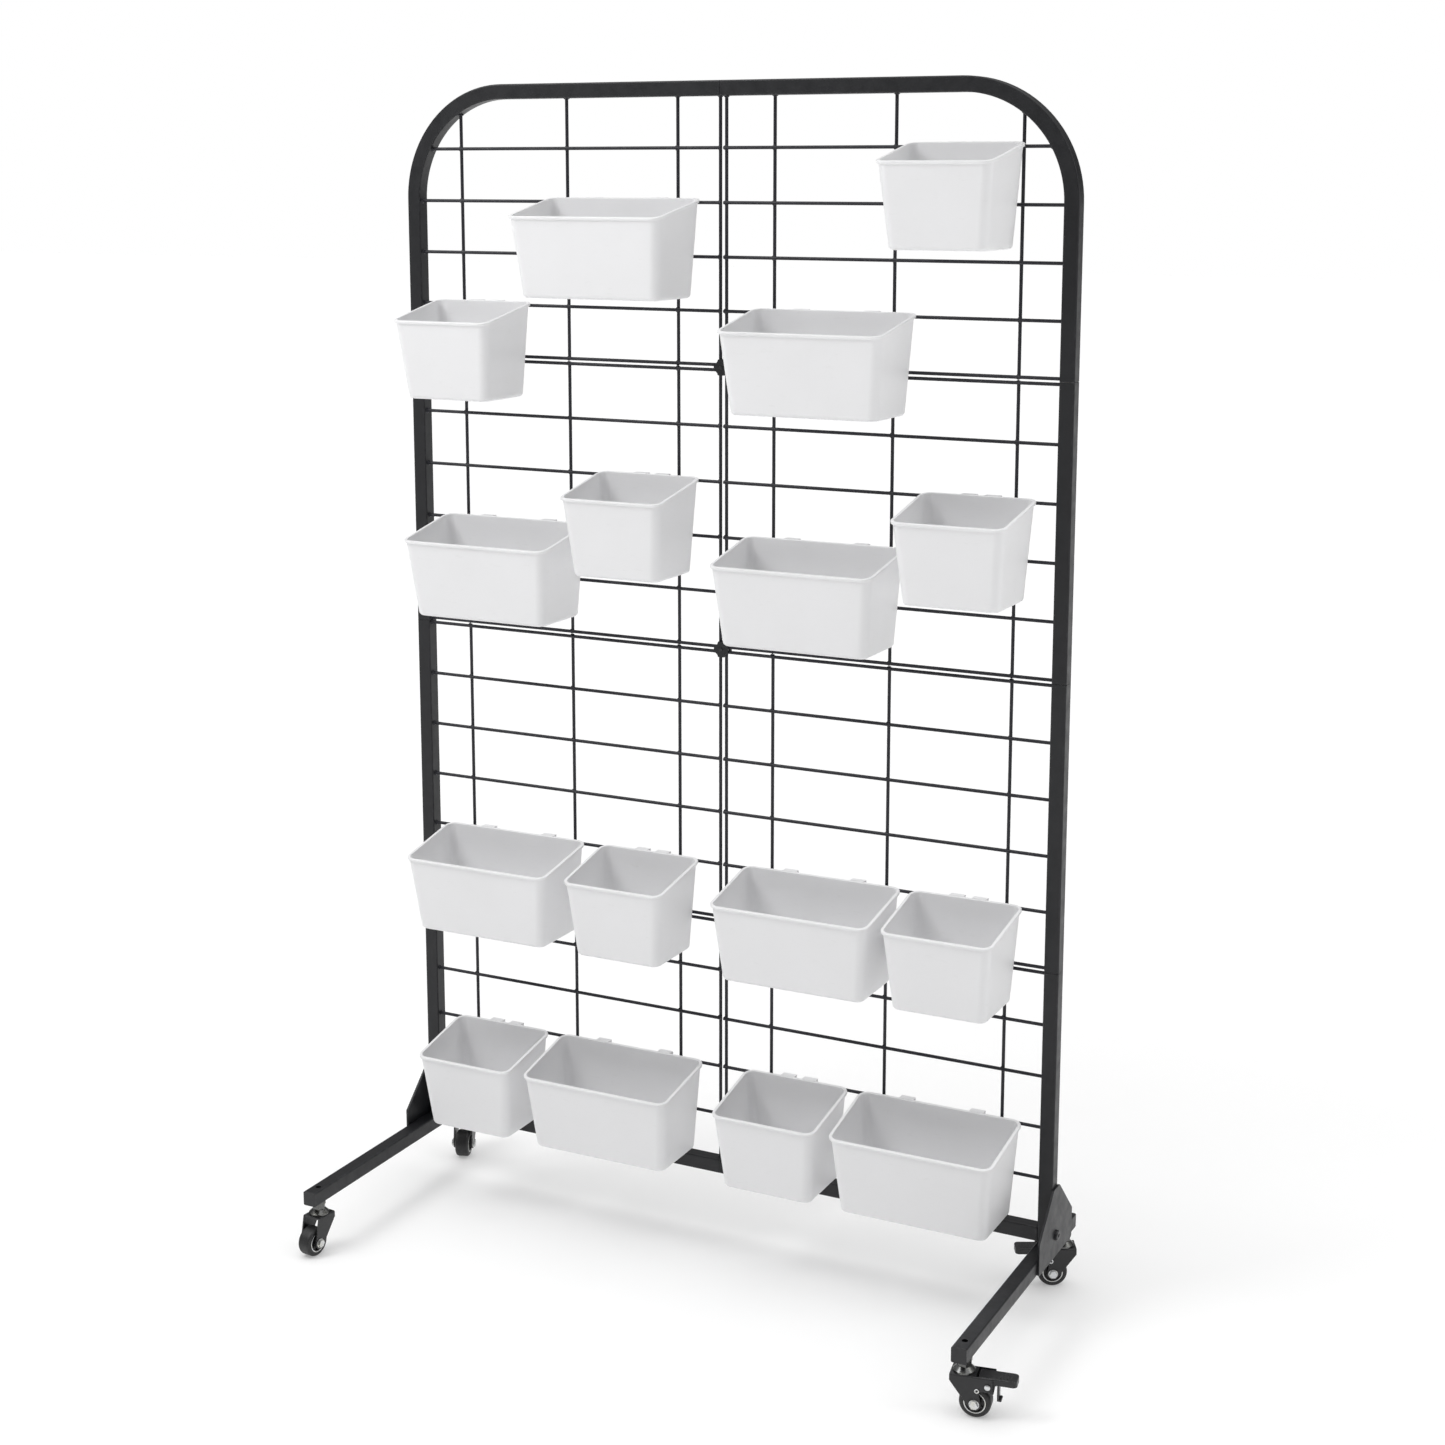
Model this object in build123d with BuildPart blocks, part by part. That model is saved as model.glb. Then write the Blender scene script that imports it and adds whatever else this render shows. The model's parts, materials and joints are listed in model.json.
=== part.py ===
from build123d import *
import os

# Free-standing wire-grid display stand on casters, with hanging plastic bins.
# Millimetres. X is the width, -Y is the front, +Z is up.
# The origin is on the floor, under the middle of the grid's plane.

# --- driving dimensions -------------------------------------------------------
TUBE = 20                       # square tube of the frame and the legs
TUBE_WALL = 1.5
TUBE_CORNER = 2
FRAME_WIDTH = 980
FRAME_HEIGHT = 1510
BEND_RADIUS = 145               # centre line of the two top corners
SEAM = 0.6                      # hairline left between two tube sections

WIRE = 4.5
PITCH = 75                      # level pitch of the two middle rows of mesh
END_PITCH = 70.8                # level pitch of the top and bottom rows
BORDER_GAP = 7                  # between the border wires of two rows
BORDER_X = 4.5                  # centre border wire, from the middle plane
COLUMNS_X = (71, 240.5, 410)    # upright wires of one mesh, from the middle
COLUMN_SHIFT = 3.5              # by which all of them stand further right
WELD_SINK = 0.4                 # how far crossing wires melt into each other

LEG_LENGTH = 416
LEG_FRONT = -322
STEM_FROM_END = 21              # caster axis, from the end of its leg
PLATE = 3                       # gusset plate thickness
CAP = 2                         # visible flange of a leg's end cap

CASTER_HEIGHT = 74              # floor to the underside of the legs
WHEEL_RADIUS = 20
WHEEL_WIDTH = 20
TRAIL = 15                      # swivel axis to wheel axis
AXLE_RADIUS = 3
STEM_RADIUS = 5
RUNNING_GAP = 0.05              # radial clearance of a bore that turns
FORK_TOP = 56
FORK_SHEET = 2
FORK_WIDTH = 29

BIN_WALL = 2
BIN_LIP = 2.5                   # how far the rim stands out of the wall
BIN_LIP_ROUND = 1.2             # outer edge of the rim
BIN_MOUTH_ROUND = 0.7           # inner edge of the rim
BIN_DEPTH = 122
BIN_FRONT_HEIGHT = 107
BIN_RIM_FALL = 24               # the rim drops this much from back to front
BIN_SIDE_DRAFT = 9.5
BIN_FRONT_DRAFT = 15
BIN_CORNER = 15
BIN_RISE = 6                    # back of the rim above the wire it hangs on
BIN_WIDTHS = {"small": 154, "wide": 230}    # at the front of the rim
HOOK_SPACING = {"small": 32, "wide": 100}

# Bins: size, centre along X, row of mesh (4 is the top), wire in that row.
BINS = (
    ("small", 343, 4, 4),
    ("wide", -143, 4, 3),
    ("small", -367, 4, 1),
    ("wide", 165, 4, 1),
    ("wide", -321, 3, 2),
    ("small", -107, 3, 3),
    ("wide", 154, 3, 2),
    ("small", 368, 3, 3),
    ("wide", -329, 2, 1),
    ("small", -109, 2, 1),
    ("wide", 154, 2, 1),
    ("small", 362, 2, 1),
    ("small", -355, 1, 1),
    ("wide", -141, 1, 1),
    ("small", 119, 1, 1),
    ("wide", 330, 1, 1),
)

# --- derived places -----------------------------------------------------------
SIDES = {"left": -1, "right": 1}
LEG_X = FRAME_WIDTH / 2 - TUBE / 2
INNER_X = FRAME_WIDTH / 2 - TUBE
LEG_Z = CASTER_HEIGHT + TUBE / 2
FOOT = CASTER_HEIGHT + TUBE
TOP = FOOT + FRAME_HEIGHT
MIDDLE = FOOT + FRAME_HEIGHT / 2
SECTION = 5 * PITCH + BORDER_GAP
SEAMS = (MIDDLE - SECTION, MIDDLE, MIDDLE + SECTION)
CROSSING_Y = (WIRE - WELD_SINK) / 2      # uprights behind, levels in front
STEM_FRONT = LEG_FRONT + STEM_FROM_END
STEM_REAR = LEG_FRONT + LEG_LENGTH - STEM_FROM_END

# Casters: side, distance along Y, direction of the trail in degrees, brake.
CASTERS = {
    "front_left": (-LEG_X, STEM_FRONT, -96, False),
    "front_right": (LEG_X, STEM_FRONT, 10, True),
    "rear_left": (-LEG_X, STEM_REAR, -70, False),
    "rear_right": (LEG_X, STEM_REAR, 207, True),
}

os.makedirs("parts", exist_ok=True)


def save(part, name):
    """Label a finished piece and write it as its own node."""
    part.label = name
    export_step(part, f"parts/{name}.step")


def tube_section():
    """Square tube's outline with its bore, in the current sketch."""
    RectangleRounded(TUBE, TUBE, TUBE_CORNER)
    Rectangle(TUBE - 2 * TUBE_WALL, TUBE - 2 * TUBE_WALL, mode=Mode.SUBTRACT)


# --- frame tubes --------------------------------------------------------------
def straight_tube(side, low, high):
    """A plain length of upright between two seams."""
    with BuildPart() as tube:
        with BuildSketch(Plane.XY.offset(low)):
            with Locations((side * LEG_X, 0)):
                tube_section()
        extrude(amount=high - low)
    return tube.part


def top_corner_tube(side, low):
    """Upright, bent corner and half of the top rail, in one length of tube."""
    rail = TOP - TUBE / 2
    start = (side * LEG_X, low)
    end = (side * SEAM / 2, rail)
    with BuildPart() as tube:
        with BuildLine(Plane.XZ) as path:
            FilletPolyline(start, (side * LEG_X, rail), end, radius=BEND_RADIUS)
        with BuildSketch(Plane.XY.offset(low)):
            with Locations((side * LEG_X, 0)):
                tube_section()
        sweep(path=path.wires()[0])
    return tube.part


BOLT_RADIUS = 4
BOLT_HOLE_RADIUS = 4.2
BOLT_Z = FOOT + TUBE / 2


def bottom_corner_tube(side, high):
    """Lowest upright with half of the bottom rail welded to its inner face."""
    with BuildPart() as tube:
        with BuildSketch(Plane.XY.offset(FOOT)):
            with Locations((side * LEG_X, 0)):
                tube_section()
        extrude(amount=high - FOOT)
        with BuildSketch(Plane.YZ.offset(side * SEAM / 2)):
            with Locations((0, FOOT + TUBE / 2)):
                tube_section()
        extrude(amount=side * (INNER_X - SEAM / 2))
        with BuildSketch(Plane.YZ.offset(side * (INNER_X - TUBE_WALL))):
            with Locations((0, BOLT_Z)):
                Circle(BOLT_HOLE_RADIUS)
        extrude(amount=side * 2 * TUBE, mode=Mode.SUBTRACT)
    return tube.part


for name, side in SIDES.items():
    save(bottom_corner_tube(side, SEAMS[0] - SEAM / 2), f"frame_tube_row1_{name}")
    save(straight_tube(side, SEAMS[0] + SEAM / 2, SEAMS[1] - SEAM / 2), f"frame_tube_row2_{name}")
    save(straight_tube(side, SEAMS[1] + SEAM / 2, SEAMS[2] - SEAM / 2), f"frame_tube_row3_{name}")
    save(top_corner_tube(side, SEAMS[2] + SEAM / 2), f"frame_tube_row4_{name}")


# --- sleeves inside the tube joints -------------------------------------------
SLEEVE_PLAY = 0.2
SLEEVE_SIZE = TUBE - 2 * TUBE_WALL - 2 * SLEEVE_PLAY
SLEEVE_WALL = 1.2
SLEEVE_LENGTH = 50


def sleeve_section():
    """Square sleeve's outline with its bore, in the current sketch."""
    Rectangle(SLEEVE_SIZE, SLEEVE_SIZE)
    Rectangle(SLEEVE_SIZE - 2 * SLEEVE_WALL, SLEEVE_SIZE - 2 * SLEEVE_WALL, mode=Mode.SUBTRACT)


with BuildPart() as sleeves:
    for seam in SEAMS:
        with BuildSketch(Plane.XY.offset(seam)):
            with Locations((-LEG_X, 0), (LEG_X, 0)):
                sleeve_section()
        extrude(amount=SLEEVE_LENGTH / 2, both=True)
    with BuildSketch(Plane.YZ):
        with Locations((0, FOOT + TUBE / 2), (0, TOP - TUBE / 2)):
            sleeve_section()
    extrude(amount=SLEEVE_LENGTH / 2, both=True)
save(sleeves.part, "section_joint_sleeves")


# --- wire mesh ----------------------------------------------------------------
def row_levels(row):
    """Heights of a row's level wires, from the seam nearest the middle outwards."""
    up = 1 if row > 2 else -1
    end = row in (1, 4)
    first = MIDDLE + up * (SECTION * end + BORDER_GAP / 2)
    pitch = END_PITCH if end else PITCH
    return [first + up * pitch * step for step in range(5 if end else 6)]


def mesh_panel(side, row):
    """One welded mesh, which fills one section of the frame on one side."""
    levels = row_levels(row)
    low = min(levels) - WIRE / 2
    high = max(levels) + WIRE / 2
    if row == 4:
        high = TOP - TUBE
    if row == 1:
        low = FOOT + TUBE
    columns = [(side * BORDER_X, CROSSING_Y)]
    columns += [(side * x + COLUMN_SHIFT, CROSSING_Y) for x in COLUMNS_X]
    border_side = BORDER_X - WIRE / 2
    with BuildPart() as mesh:
        with BuildSketch(Plane.XY.offset(low)):
            with Locations(*columns):
                Circle(WIRE / 2)
        extrude(amount=high - low)
        with BuildSketch(Plane.YZ.offset(side * border_side)):
            with Locations(*[(-CROSSING_Y, z) for z in levels]):
                Circle(WIRE / 2)
        extrude(amount=side * (INNER_X - border_side))
        if row == 4:
            # The wires end on the inside of the bent corner.
            with BuildSketch(Plane.XZ) as window:
                with Locations((side * INNER_X / 2, (low + high) / 2)):
                    Rectangle(INNER_X, high - low)
                top_corners = window.vertices().group_by(Axis.Y)[-1].sort_by(Axis.X)
                bent_corner = top_corners[0 if side < 0 else -1]
                fillet(bent_corner, BEND_RADIUS - TUBE / 2)
            extrude(amount=TUBE, both=True, mode=Mode.INTERSECT)
    return mesh.part


for row in (1, 2, 3, 4):
    for name, side in SIDES.items():
        save(mesh_panel(side, row), f"mesh_panel_row{row}_{name}")


# --- clamps where four meshes meet ----------------------------------------------
STAR = 10.5                     # middle to the tip of an arm
STAR_NOTCH = 6.5                # radius of the concave sides
STAR_NOTCH_PITCH = 22           # between the centres of two of them
STAR_FACE = 6.5                 # outer faces, from the grid's plane
SCREW_RADIUS = 1
SCREW_PLAY = 0.1
SCREW_HEAD_RADIUS = 2.2
SCREW_HEAD = 1.6
SCREW_NUT_FLATS = 4
SCREW_NUT = 2
GROOVE_RADIUS = WIRE / 2 + 0.05


def star_half(front, seam):
    """Half of a cross-shaped clamp, grooved over the wires on its side."""
    inner = -CROSSING_Y if front else CROSSING_Y
    outer = -STAR_FACE if front else STAR_FACE
    with BuildPart() as half:
        with BuildSketch(Plane.XZ.offset(-inner)):
            with Locations((0, seam)):
                Rectangle(2 * STAR, 2 * STAR)
                with GridLocations(STAR_NOTCH_PITCH, STAR_NOTCH_PITCH, 2, 2):
                    Circle(STAR_NOTCH, mode=Mode.SUBTRACT)
                Circle(SCREW_RADIUS + SCREW_PLAY, mode=Mode.SUBTRACT)
        extrude(amount=inner - outer)
        if front:
            with BuildSketch(Plane.YZ.offset(-STAR)):
                with Locations((inner, seam - BORDER_GAP / 2), (inner, seam + BORDER_GAP / 2)):
                    Circle(GROOVE_RADIUS)
        else:
            with BuildSketch(Plane.XY.offset(seam - STAR)):
                with Locations((-BORDER_X, inner), (BORDER_X, inner)):
                    Circle(GROOVE_RADIUS)
        extrude(amount=2 * STAR, mode=Mode.SUBTRACT)
    return half.part


star_halves = [star_half(front, seam) for seam in SEAMS for front in (True, False)]
save(Compound(children=star_halves), "star_clamp_plates")

with BuildPart() as star_screws:
    for seam in SEAMS:
        with BuildSketch(Plane.XZ.offset(STAR_FACE)):
            with Locations((0, seam)):
                Circle(SCREW_HEAD_RADIUS)
        extrude(amount=SCREW_HEAD)
        with BuildSketch(Plane.XZ.offset(STAR_FACE)):
            with Locations((0, seam)):
                Circle(SCREW_RADIUS)
        extrude(amount=-2 * STAR_FACE)
        with BuildSketch(Plane.XZ.offset(-STAR_FACE)):
            with Locations((0, seam)):
                RegularPolygon(SCREW_NUT_FLATS / 2, 6, major_radius=False)
        extrude(amount=-SCREW_NUT)
save(star_screws.part, "star_clamp_screws")


# --- legs -----------------------------------------------------------------------
STEM_HOLE_RADIUS = STEM_RADIUS + 0.1
ACCESS_HOLE_RADIUS = 4          # over each stem, in the leg's upper wall
for name, side in SIDES.items():
    with BuildPart() as leg:
        with BuildSketch(Plane.XZ.offset(-(LEG_FRONT + CAP))):
            with Locations((side * LEG_X, LEG_Z)):
                tube_section()
        extrude(amount=-(LEG_LENGTH - 2 * CAP))
        with BuildSketch(Plane.XY.offset(CASTER_HEIGHT)):
            with Locations((side * LEG_X, STEM_FRONT), (side * LEG_X, STEM_REAR)):
                Circle(STEM_HOLE_RADIUS)
        extrude(amount=TUBE_WALL, mode=Mode.SUBTRACT)
        with BuildSketch(Plane.XY.offset(FOOT)):
            with Locations((side * LEG_X, STEM_FRONT), (side * LEG_X, STEM_REAR)):
                Circle(ACCESS_HOLE_RADIUS)
        extrude(amount=-TUBE_WALL, mode=Mode.SUBTRACT)
    save(leg.part, f"leg_tube_{name}")

PLUG_PLAY = 0.15
PLUG = TUBE - 2 * TUBE_WALL - 2 * PLUG_PLAY
PLUG_LENGTH = 9
with BuildPart() as end_caps:
    for end, inward in ((LEG_FRONT, 1), (LEG_FRONT + LEG_LENGTH, -1)):
        with BuildSketch(Plane.XZ.offset(-end)):
            with Locations((-LEG_X, LEG_Z), (LEG_X, LEG_Z)):
                RectangleRounded(TUBE, TUBE, TUBE_CORNER)
        extrude(amount=-inward * CAP)
        with BuildSketch(Plane.XZ.offset(-(end + inward * CAP))):
            with Locations((-LEG_X, LEG_Z), (LEG_X, LEG_Z)):
                Rectangle(PLUG, PLUG)
        extrude(amount=-inward * PLUG_LENGTH)
save(end_caps.part, "leg_end_caps")

# --- gusset plates between the legs and the uprights -------------------------------
PLATE_WIDTH = 132
PLATE_HEIGHT = 97
PLATE_SHOULDER = 42
PLATE_TOP_WIDTH = 22
PLATE_CORNER = 3
plate_outline = (
    (-PLATE_WIDTH / 2, 0),
    (PLATE_WIDTH / 2, 0),
    (PLATE_WIDTH / 2, PLATE_SHOULDER),
    (PLATE_TOP_WIDTH / 2, PLATE_HEIGHT),
    (-PLATE_TOP_WIDTH / 2, PLATE_HEIGHT),
    (-PLATE_WIDTH / 2, PLATE_SHOULDER),
)
for name, side in SIDES.items():
    with BuildPart() as plate:
        with BuildSketch(Plane.YZ.offset(side * FRAME_WIDTH / 2)):
            with Locations((0, CASTER_HEIGHT)):
                Polygon(*plate_outline, align=None)
            with Locations((0, BOLT_Z)):
                Circle(BOLT_HOLE_RADIUS, mode=Mode.SUBTRACT)
        extrude(amount=side * PLATE)
        fillet(plate.edges().filter_by(Axis.X).filter_by(GeomType.LINE), PLATE_CORNER)
    save(plate.part, f"gusset_plate_{name}")

BOLT_HEAD_RADIUS = 7
BOLT_HEAD = 4
BOLT_HEAD_ROUND = 2
BOLT_SOCKET_FLATS = 5
BOLT_SOCKET_DEPTH = 2.5
BOLT_PAST_NUT = 2
BOLT_NUT_FLATS = 13
BOLT_NUT = 6.5
plate_face = FRAME_WIDTH / 2 + PLATE
bolts_and_nuts = []
for side in SIDES.values():
    with BuildPart() as bolt:
        with BuildSketch(Plane.YZ.offset(side * plate_face)):
            with Locations((0, BOLT_Z)):
                Circle(BOLT_HEAD_RADIUS)
        extrude(amount=side * BOLT_HEAD)
        outer_face = bolt.faces().sort_by(Axis.X)[-1 if side > 0 else 0]
        fillet(outer_face.edges(), BOLT_HEAD_ROUND)
        with BuildSketch(Plane.YZ.offset(side * (plate_face + BOLT_HEAD))):
            with Locations((0, BOLT_Z)):
                RegularPolygon(BOLT_SOCKET_FLATS / 2, 6, major_radius=False)
        extrude(amount=-side * BOLT_SOCKET_DEPTH, mode=Mode.SUBTRACT)
        with BuildSketch(Plane.YZ.offset(side * plate_face)):
            with Locations((0, BOLT_Z)):
                Circle(BOLT_RADIUS)
        extrude(amount=-side * (plate_face - INNER_X + BOLT_NUT + BOLT_PAST_NUT))
    with BuildPart() as nut:
        with BuildSketch(Plane.YZ.offset(side * INNER_X)):
            with Locations((0, BOLT_Z)):
                RegularPolygon(BOLT_NUT_FLATS / 2, 6, major_radius=False)
                Circle(BOLT_RADIUS, mode=Mode.SUBTRACT)
        extrude(amount=-side * BOLT_NUT)
    bolts_and_nuts += [bolt.part, nut.part]
save(Compound(children=bolts_and_nuts), "gusset_bolts")

# --- caster stems, fixed in the legs -------------------------------------------------
FORK_PLAY = 0.3                 # above and below the fork's top sheet
STEM_RIVET_RADIUS = 8
STEM_RIVET = 3.2
STEM_RIVET_EDGE = 1
RACE_RADIUS = 14
RACE_RIM = 2
RACE_TOP_RADIUS = 9
RACE_TOP = 63
STEM_HEX_FLATS = 16
STEM_HEX_TOP = 70
WASHER_RADIUS = 9.5
STEM_TOP = 88
STEM_NUT_FLATS = 14
STEM_NUT = 7

with BuildPart() as stem:
    with BuildSketch(Plane.XZ):
        with BuildLine():
            rivet_top = FORK_TOP - FORK_SHEET - FORK_PLAY
            race_low = FORK_TOP + FORK_PLAY
            Polyline(
                (0, rivet_top - STEM_RIVET),
                (STEM_RIVET_RADIUS - STEM_RIVET_EDGE, rivet_top - STEM_RIVET),
                (STEM_RIVET_RADIUS, rivet_top - STEM_RIVET + STEM_RIVET_EDGE),
                (STEM_RIVET_RADIUS, rivet_top),
                (STEM_RADIUS, rivet_top),
                (STEM_RADIUS, race_low),
                (RACE_RADIUS, race_low),
                (RACE_RADIUS, race_low + RACE_RIM),
                (RACE_TOP_RADIUS, RACE_TOP),
                (STEM_RADIUS, RACE_TOP),
                (STEM_RADIUS, STEM_HEX_TOP),
                (WASHER_RADIUS, STEM_HEX_TOP),
                (WASHER_RADIUS, CASTER_HEIGHT),
                (STEM_RADIUS, CASTER_HEIGHT),
                (STEM_RADIUS, STEM_TOP),
                (0, STEM_TOP),
                close=True,
            )
        make_face()
    revolve(axis=Axis.Z)
    with BuildSketch(Plane.XY.offset(RACE_TOP)):
        RegularPolygon(STEM_HEX_FLATS / 2, 6, major_radius=False)
    extrude(amount=STEM_HEX_TOP - RACE_TOP)

with BuildPart() as stem_nut:
    with BuildSketch(Plane.XY.offset(CASTER_HEIGHT + TUBE_WALL)):
        RegularPolygon(STEM_NUT_FLATS / 2, 6, major_radius=False)
        Circle(STEM_RADIUS, mode=Mode.SUBTRACT)
    extrude(amount=STEM_NUT)

stem_pieces = []
for x, y, heading, brake in CASTERS.values():
    stem_pieces.append(Pos(x, y, 0) * stem.part)
    stem_pieces.append(Pos(x, y, 0) * stem_nut.part)
save(Compound(children=stem_pieces), "caster_stems")

# --- casters: fork, axle, wheel and brake, drawn with the trail along +X --------------
CHEEK_INSIDE = FORK_WIDTH / 2 - FORK_SHEET
AXLE_BOSS = 8
HEAD_FRONT = -16
HEAD_REAR = 16
HEAD_HEIGHT = 8                 # the level stretch at the top of a cheek
BRAKE_HEAD_REAR = 37
BRAKE_HEAD_LOW = 38
PIVOT_X = 31
PIVOT_Z = 45
PIVOT_RADIUS = 2.5


def fork(brake):
    """Pressed U-shaped fork; the braked one reaches back to hold the pedal."""
    rear = BRAKE_HEAD_REAR if brake else HEAD_REAR
    with BuildPart() as body:
        with BuildSketch(Plane.XZ):
            with Locations(((HEAD_FRONT + HEAD_REAR) / 2, FORK_TOP - HEAD_HEIGHT / 2)):
                Rectangle(HEAD_REAR - HEAD_FRONT, HEAD_HEIGHT)
            with Locations((TRAIL, WHEEL_RADIUS)):
                Circle(AXLE_BOSS)
            make_hull()
            if brake:
                with Locations((rear / 2, (FORK_TOP + BRAKE_HEAD_LOW) / 2)):
                    Rectangle(rear, FORK_TOP - BRAKE_HEAD_LOW)
        extrude(amount=FORK_WIDTH / 2, both=True)
        top_edges = body.faces().sort_by(Axis.Z)[-1].edges()
        fillet(top_edges.filter_by(Axis.X), FORK_SHEET)
        with Locations((0, 0, (FORK_TOP - FORK_SHEET) / 2)):
            Box(4 * BRAKE_HEAD_REAR, 2 * CHEEK_INSIDE, FORK_TOP - FORK_SHEET, mode=Mode.SUBTRACT)
        if brake:
            # The pedal passes over the rear of the fork, where the top is open.
            with Locations((HEAD_REAR, 0, FORK_TOP)):
                Box(
                    BRAKE_HEAD_REAR,
                    2 * CHEEK_INSIDE,
                    3 * FORK_SHEET,
                    align=(Align.MIN, Align.CENTER, Align.CENTER),
                    mode=Mode.SUBTRACT,
                )
            with Locations(Pos(PIVOT_X, 0, PIVOT_Z) * Rot(X=90)):
                Cylinder(PIVOT_RADIUS + RUNNING_GAP, FORK_WIDTH, mode=Mode.SUBTRACT)
        with Locations((0, 0, FORK_TOP)):
            Cylinder(STEM_RADIUS + RUNNING_GAP, 3 * FORK_SHEET, mode=Mode.SUBTRACT)
        with Locations(Pos(TRAIL, 0, WHEEL_RADIUS) * Rot(X=90)):
            Cylinder(AXLE_RADIUS, FORK_WIDTH, mode=Mode.SUBTRACT)
    return body.part


AXLE_HEAD_FLATS = 10
AXLE_HEAD = 3.5
AXLE_HEAD_BEVEL = 0.6
with BuildPart() as axle:
    with Locations(Pos(TRAIL, 0, WHEEL_RADIUS) * Rot(X=90)):
        Cylinder(AXLE_RADIUS, FORK_WIDTH)
    for face, out in ((-FORK_WIDTH / 2, 1), (FORK_WIDTH / 2, -1)):
        with BuildSketch(Plane.XZ.offset(-face)):
            with Locations((TRAIL, WHEEL_RADIUS)):
                RegularPolygon(AXLE_HEAD_FLATS / 2, 6, major_radius=False)
        extrude(amount=out * AXLE_HEAD)
    head_faces = axle.faces().filter_by(Axis.Y).sort_by(Axis.Y)
    chamfer(head_faces[0].edges() + head_faces[-1].edges(), AXLE_HEAD_BEVEL)

CORE_RADIUS = 14
SHOULDER = 4
HUB_RECESS = 2.5
RECESS_RADIUS = 11.5
BOSS_RADIUS = 6
BOSS_WIDTH = 2 * CHEEK_INSIDE - 1   # leaves 0.5 mm of play at each cheek

with BuildPart() as tyre:
    with BuildSketch(Plane.XZ.offset(-WHEEL_WIDTH / 2)):
        with Locations((TRAIL, WHEEL_RADIUS)):
            Circle(WHEEL_RADIUS)
            Circle(CORE_RADIUS, mode=Mode.SUBTRACT)
    extrude(amount=WHEEL_WIDTH)
    fillet(tyre.edges().filter_by(GeomType.CIRCLE).group_by(SortBy.RADIUS)[-1], SHOULDER)

with BuildPart() as hub:
    with BuildSketch(Plane.XZ):
        with Locations((TRAIL, WHEEL_RADIUS)):
            Circle(CORE_RADIUS)
    extrude(amount=WHEEL_WIDTH / 2, both=True)
    for face, inward in ((-WHEEL_WIDTH / 2, -1), (WHEEL_WIDTH / 2, 1)):
        with BuildSketch(Plane.XZ.offset(-face)):
            with Locations((TRAIL, WHEEL_RADIUS)):
                Circle(RECESS_RADIUS)
        extrude(amount=inward * HUB_RECESS, mode=Mode.SUBTRACT)
    with BuildSketch(Plane.XZ):
        with Locations((TRAIL, WHEEL_RADIUS)):
            Circle(BOSS_RADIUS)
    extrude(amount=BOSS_WIDTH / 2, both=True)
    with Locations(Pos(TRAIL, 0, WHEEL_RADIUS) * Rot(X=90)):
        Cylinder(AXLE_RADIUS + RUNNING_GAP, 2 * BOSS_WIDTH, mode=Mode.SUBTRACT)

PEDAL_WIDTH = 22
PEDAL_START = 19
PEDAL_END = 66
PEDAL_TOP = 55
PEDAL_SHEET = 2
PEDAL_FLANGE = 8
SHOE_LOW = 35                   # the tail that presses on the tyre
PIN_END = 0.8                   # pivot pin, past each cheek
with BuildPart() as pedal:
    with BuildSketch(Plane.XZ):
        with BuildLine():
            Polyline(
                (PEDAL_START, PEDAL_TOP),
                (PEDAL_END, PEDAL_TOP),
                (PEDAL_END, PEDAL_TOP - PEDAL_FLANGE),
                (PIVOT_X + 9, PEDAL_TOP - PEDAL_FLANGE),
                (PIVOT_X + 7, SHOE_LOW),
                (PIVOT_X + 3, SHOE_LOW),
                (PIVOT_X - 6, PIVOT_Z - 2),
                (PEDAL_START, PEDAL_TOP - PEDAL_FLANGE),
                close=True,
            )
        make_face()
    extrude(amount=PEDAL_WIDTH / 2, both=True)
    fillet(pedal.edges().filter_by(Axis.Z).group_by(Axis.X)[-1], PEDAL_WIDTH / 4)
    fillet(pedal.faces().sort_by(Axis.Z)[-1].edges(), PEDAL_SHEET / 2)
    with Locations((PEDAL_START - 1, 0, PEDAL_TOP - PEDAL_SHEET)):
        Box(
            PEDAL_END - PEDAL_START - PEDAL_SHEET + 1,
            PEDAL_WIDTH - 2 * PEDAL_SHEET,
            PEDAL_TOP,
            align=(Align.MIN, Align.CENTER, Align.MAX),
            mode=Mode.SUBTRACT,
        )
    with Locations(Pos(PIVOT_X, 0, PIVOT_Z) * Rot(X=90)):
        Cylinder(PIVOT_RADIUS, FORK_WIDTH + 2 * PIN_END)

for name, (x, y, heading, brake) in CASTERS.items():
    place = Pos(x, y, 0) * Rot(Z=heading)
    save(place * fork(brake), f"caster_fork_{name}")
    save(place * axle.part, f"caster_axle_{name}")
    save(place * tyre.part, f"caster_tyre_{name}")
    save(place * hub.part, f"caster_hub_{name}")
    if brake:
        save(place * pedal.part, f"brake_pedal_{name}")

# --- bins -----------------------------------------------------------------------------
BACK_HEIGHT = BIN_FRONT_HEIGHT + BIN_RIM_FALL
LIP_HEIGHT = 4
FLOOR_FILLET = 6
HOOK_WIDTH = 20
HOOK_GAP = 0.35                 # clearance over and behind the wire
HOOK_SHEET = 3
HOOK_DROP = 7                   # tip of the hook below the wire's centre
RIM_TO_WIRE = 0.6
RIM_BACK = -(CROSSING_Y + WIRE / 2) - RIM_TO_WIRE
rim_slope = BIN_RIM_FALL / BIN_DEPTH


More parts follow.
